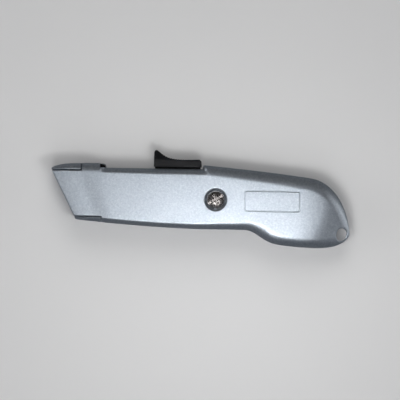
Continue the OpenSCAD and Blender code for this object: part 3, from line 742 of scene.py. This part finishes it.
LABEL_LINES_X = [(LABEL[0] + s * (LABEL_L - GROOVE_W) / 2, 0.5, 0.13) for s in (-1, 1)]
LABEL_LINES_Y = [(LABEL[1] + s * (LABEL_H - GROOVE_W) / 2, 0.5, 0.13) for s in (-1, 1)]
XS = axis(NOSE_X - 1, TAIL_X + 1, casing_x, LABEL_LINES_X
          + [(RAIL_FRONT, 1.5, 0.25), (RAIL_REAR, 0.8, 0.25), (BLOCK_X[0], 0.5, 0.25),
             (-COUNTERBORE_R, 0.6, 0.22), (COUNTERBORE_R, 0.6, 0.22)])
YS = axis(BELLY_Y - 1, RAIL_Y + HUMP_RISE + 1, 0.45, LABEL_LINES_Y
          + [(TOP_TAB[1], 0.6, 0.2), (BOTTOM_TAB[1], 0.6, 0.2), (RAIL_Y, 0.6, 0.25)])
NEAR_ZS = axis(MID - 0.6, BODY_T + 0.6, 0.42,
               [(MID + SEAM, 0.5, 0.22), (SEAT_Z - WEB_T, 0.2, 0.15), (BODY_T - 0.3, 0.5, 0.13)])
FAR_ZS = axis(-0.6, BODY_T + 0.2, 0.45, [(MID - SEAM, 0.5, 0.22), (0.0, 0.3, 0.25)])

field_piece("near_casing_shell", near_field, (XS, YS, NEAR_ZS), "near_body", "near_casing",
            PAINT)
field_piece("far_casing_shell", far_field, (XS, YS, FAR_ZS), "far_body", "far_casing",
            PAINT)


# ---------------------------------------------------------------------------------------------
# Thumb button
# ---------------------------------------------------------------------------------------------
RAMP = bezier([(BUTTON_FRONT + 2.3, CREST_Y - 0.6), (BUTTON_FRONT + 7, CREST_Y - 4.4),
               (BUTTON_FRONT + 9, BASE_Y + 3.5), (BUTTON_REAR - 1.2, BASE_Y + 4.2)], 60)
BUTTON_SHAPE = np.vstack([
    [(BUTTON_FRONT, BASE_Y), (BUTTON_FRONT + 0.1, CREST_Y - 1.3),
     (BUTTON_FRONT + 0.45, CREST_Y - 0.4), (BUTTON_FRONT + 1.1, CREST_Y),
     (BUTTON_FRONT + 1.8, CREST_Y - 0.2)],
    RAMP,
    [(BUTTON_REAR - 1.2, BASE_Y + 4.2), (BUTTON_REAR - 0.2, BASE_Y + 3.2), (BUTTON_REAR, BASE_Y)],
])
BUTTON_TABLE = Table((BUTTON_FRONT - 2, BASE_Y - 2), (BUTTON_REAR + 2, CREST_Y + 2), 0.1,
                     lambda x, y: polygon_distance(BUTTON_SHAPE, x, y))
RAMP_TABLE = Table((BUTTON_FRONT - 2, BASE_Y - 2), (BUTTON_REAR + 2, CREST_Y + 2), 0.1,
                   lambda x, y: -np.abs(polygon_distance(
                       np.vstack([RAMP, RAMP[::-1] + (0, -0.01)]), x, y)))


def ramp_length(x):
    """Distance along the ramp from the crest."""
    steps = np.hypot(*np.diff(RAMP, axis=0).T)
    return np.interp(x, RAMP[:, 0], np.concatenate([[0], np.cumsum(steps)]))


def button_field(x, y, z):
    side = BUTTON_W - np.abs(z - MID)
    body = BUTTON_TABLE(x, y)
    # the thumb ridge narrows above the side faces
    ridge_y = BASE_Y + 3.6 + np.clip((BUTTON_FRONT + 9 - x) / 9, 0, 1) * 0.6
    lean = side - np.maximum(y - ridge_y, 0) * 0.42
    grip = 0.16 * np.sin(ramp_length(x) * 2 * math.pi / 1.25)
    span = ramp(ramp_length(x), 1.2, 2.4) * (1 - ramp(ramp_length(x), 15.5, 17.5))
    near_ramp = np.maximum(0, 1 + RAMP_TABLE(x, y) / 0.8) * (side > 0.4)
    body = body + np.minimum(grip, 0.05) * span * near_ramp
    f = smin(body, lean, 0.7)
    f = smin(f, y - BASE_Y, 0.4)
    stem = brick(x, y, z, (STEM_X - STEM_L / 2, FLANGE_Y + 0.3, MID - STEM_T / 2),
                 (STEM_X + STEM_L / 2, BASE_Y + 1, MID + STEM_T / 2), 0.25)
    skirt = brick(x, y, z, (BUTTON_FRONT + SKIRT_GAP, RAIL_Y - 0.4, MID - STEM_T / 2),
                  (BUTTON_REAR - SKIRT_GAP, BASE_Y + 1, MID + STEM_T / 2), 0.2)
    stem = np.maximum(stem, skirt)
    foot_y = FLANGE_Y - 0.9
    neck = brick(x, y, z, (STEM_X - 4, foot_y, MID - STEM_T / 2),
                 (STEM_X + 4, BASE_Y, BLADE_Z - 0.3), 0.2)
    foot = brick(x, y, z, (STEM_X - 4, foot_y, MID - 3.2),
                 (STEM_X + 4, foot_y + 1.3, BLADE_Z - 0.3), 0.2)
    tooth = np.minimum(convex(x, y, [
        (STEM_X - 1, foot_y + 0.8), (STEM_X + 1, foot_y + 0.8), (STEM_X + 0.8, STRIP_LOW[1] - 0.3),
        (STEM_X - 0.8, STRIP_LOW[1] - 0.3)]), slab(z, MID - 3.2, MID - STEM_T / 2 + 0.3))
    f = smax(f, np.maximum(np.maximum(stem, neck), smax(foot, tooth, 0.2)), 0.15)
    pin = np.maximum(np.abs(y - (FLANGE_Y + 1.9)) - 0.3, 0)
    return smin(f, -(0.8 - np.hypot(x - STEM_X, pin)), 0.1)


field_piece(
    "thumb_button_moulding", button_field,
    (axis(BUTTON_FRONT - 0.6, BUTTON_REAR + 0.6, 0.24),
     axis(FLANGE_Y - 1.6, CREST_Y + 0.6, 0.2),
     axis(MID - BUTTON_W - 0.5, MID + BUTTON_W + 0.5, 0.24)),
    "button", "thumb_button", BLACK)


# ---------------------------------------------------------------------------------------------
# Casing screw: pan head with a slot and a cross recess, and a cut thread
# ---------------------------------------------------------------------------------------------
def screw_field(x, y, z):
    r = np.hypot(x, y)
    dome = SCREW_TOP - 1.15 * (r / HEAD_R) ** 2
    head = smin(smin(HEAD_R - r, dome - z, 0.5), z - SEAT_Z, 0.25)
    pitch = 0.8
    turn = z / pitch - np.arctan2(y, x) / (2 * math.pi)
    tooth = np.abs(turn - np.round(turn)) * 2
    thread_top = SEAT_Z - WEB_T - 5.3
    depth = np.where(z < thread_top, 0.42, 0.0)
    radius = np.where(z < thread_top, SHANK_R - 0.05, SHANK_R)
    groove = slab(z, thread_top, thread_top + 0.9)
    shank = radius - depth * tooth - r
    shank = np.minimum(shank, np.where(groove > 0, SHANK_R - 0.5 - r, FAR_AWAY))
    shank = smin(shank, z - SCREW_TIP, 0.2)
    shank = np.minimum(shank, (z - SCREW_TIP) * 0.8 + SHANK_R - 0.6 - r)
    f = np.maximum(head, np.minimum(shank, SEAT_Z + 0.5 - z))
    c, s = math.cos(math.radians(30)), math.sin(math.radians(30))
    along, across = x * c + y * s, -x * s + y * c
    slot = np.minimum(0.65 - np.abs(across), z - (SCREW_TOP - 1.1))
    f = smin(f, -slot, 0.15)
    depth_down = SCREW_TOP - z
    arm = 2.7 - 0.45 * depth_down
    wide = 0.78 - 0.14 * depth_down
    cross = np.maximum(np.minimum(arm - np.abs(along), wide - np.abs(across)),
                       np.minimum(arm - np.abs(across), wide - np.abs(along)))
    cross = np.maximum(cross, 1.5 - 0.3 * depth_down - r)
    cross = np.minimum(cross, z - (SCREW_TOP - 1.5))
    return smin(f, -cross, 0.12)


field_piece(
    "casing_screw_turned", screw_field,
    (axis(-HEAD_R - 0.4, HEAD_R + 0.4, 0.15), axis(-HEAD_R - 0.4, HEAD_R + 0.4, 0.15),
     axis(SCREW_TIP - 0.4, SCREW_TOP + 0.4, 0.16)),
    "screw", "casing_screw", SCREW_STEEL)


# ---------------------------------------------------------------------------------------------
# Better materials on the carried-over CAD nodes
# ---------------------------------------------------------------------------------------------
CARRIED = {
    "index_strip": BLACK, "spare_blade_tray": BLACK, "blade_carrier": ALLOY,
    "threaded_insert": BRASS, "screw_retainer": SPRING_STEEL, "button_spring": SPRING_STEEL,
    "spare_blade_clip": SPRING_STEEL, "blade_pins": PIN_STEEL, "button_pin": PIN_STEEL,
    "spring_rivet": PIN_STEEL, "clip_rivet": PIN_STEEL, "utility_blade": BLADE_STEEL,
}
CARRIED.update({f"spare_blade_{i}": BLADE_STEEL for i in range(1, 6)})
for node, material in CARRIED.items():
    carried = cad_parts[node]
    if not carried.material_slots:
        carried.data.materials.append(material)
    for material_slot in carried.material_slots:
        material_slot.material = material


# ---------------------------------------------------------------------------------------------
# Floor, light and camera
# ---------------------------------------------------------------------------------------------
def floor():
    m = Nodes("pale_floor", (0.80, 0.80, 0.80), 0.0, 0.9, Specular_IOR_Level=0.1)
    m.color(m.mix(m.map(m.noise(3, 2, 0.5), 0.3, 0.7, 0, 1), (0.79, 0.79, 0.79),
                  (0.81, 0.81, 0.81)))
    size = 3.0
    mesh = bpy.data.meshes.new("floor")
    mesh.from_pydata([(-size, -size, 0), (size, -size, 0), (size, size, 0), (-size, size, 0)], [],
                     [(0, 1, 2, 3)])
    mesh.materials.append(m.material)
    plane = bpy.data.objects.new("floor", mesh)
    bpy.context.scene.collection.objects.link(plane)
    plane.location.z = -0.0002
    plane.visible_glossy = False       # the paint doesn't mirror the floor


def lamp(name, place, target, size, power):
    data = bpy.data.lights.new(name, "AREA")
    data.shape = "RECTANGLE"
    data.size, data.size_y = size
    data.energy = power
    obj = bpy.data.objects.new(name, data)
    bpy.context.scene.collection.objects.link(obj)
    obj.location = place
    obj.rotation_euler = (Vector(target) - Vector(place)).to_track_quat("-Z", "Y").to_euler()
    obj.visible_camera = False
    return obj


floor()
lamp("soft_box", (0.02, -0.17, 0.75), (0.0, 0.0, 0.0), (0.50, 0.26), 0.78)
lamp("near_glow", (0.008, -0.050, 0.20), (0.006, -0.02, 0.0), (0.08, 0.045), 0.106)
for end, height, power in ((-1, 0.55, 3.0), (1, 0.26, 1.7)):
    lamp(f"end_light_{end}", (1.1 * end, 0.0, height), (0, 0, 0), (1.0, 0.5), power)
# two lamps that light the floor and are hidden from the gloss of the paint
for side, power in ((-1, 2.9), (1, 5.0)):
    floor_lamp = lamp(f"floor_lamp_{side}", (0, 0.9 * side, 0.9), (0, 0, 0), (0.9, 0.9), power)
    floor_lamp.visible_glossy = False


def studio_world():
    """Dark surroundings: bluish towards -Y, neutral towards +Y, lighter below the horizon."""
    world = bpy.data.worlds.new("studio")
    bpy.context.scene.world = world
    world.use_nodes = True
    tree = world.node_tree
    direction = tree.nodes.new("ShaderNodeTexCoord")
    split = tree.nodes.new("ShaderNodeSeparateXYZ")
    tree.links.new(direction.outputs["Generated"], split.inputs[0])

    def mapped(axis_name, low, high):
        m = tree.nodes.new("ShaderNodeMapRange")
        m.inputs["From Min"].default_value, m.inputs["From Max"].default_value = low, high
        tree.links.new(split.outputs[axis_name], m.inputs["Value"])
        return m.outputs["Result"]

    def mixed(factor, second):
        m = tree.nodes.new("ShaderNodeMix")
        m.data_type = "RGBA"
        m.inputs[7].default_value = (*second, 1)
        tree.links.new(factor, m.inputs[0])
        return m

    above = mixed(mapped("Y", -0.6, 0.6), (0.056, 0.053, 0.051))
    above.inputs[6].default_value = (0.038, 0.042, 0.056, 1)
    whole = mixed(mapped("Z", 0.10, -0.25), (0.11, 0.115, 0.125))
    tree.links.new(above.outputs[2], whole.inputs[6])
    tree.links.new(whole.outputs[2], tree.nodes["Background"].inputs["Color"])
    tree.nodes["Background"].inputs["Strength"].default_value = 0.9


studio_world()

KNIFE_MM, KNIFE_PX, PICTURE_PX = 155, 299.4, 400
FRAME_MM = PICTURE_PX * KNIFE_MM / KNIFE_PX      # width of the picture at the knife
SENSOR_MM = 36
CAMERA_AT = (-8.12 * MM, -0.35 * MM)
DISTANCE = 2.0
camera_data = bpy.data.cameras.new("camera")
camera_data.sensor_width = SENSOR_MM
camera_data.lens = SENSOR_MM * (DISTANCE - BODY_T * MM) / (FRAME_MM * MM)
camera_data.clip_start, camera_data.clip_end = 0.05, 20
camera = bpy.data.objects.new("camera", camera_data)
bpy.context.scene.collection.objects.link(camera)
camera.location = (*CAMERA_AT, DISTANCE)
camera.rotation_euler = (0, 0, math.radians(1.0))
bpy.context.scene.camera = camera
bpy.context.scene.view_settings.view_transform = "Standard"
bpy.context.scene.view_settings.look = "None"
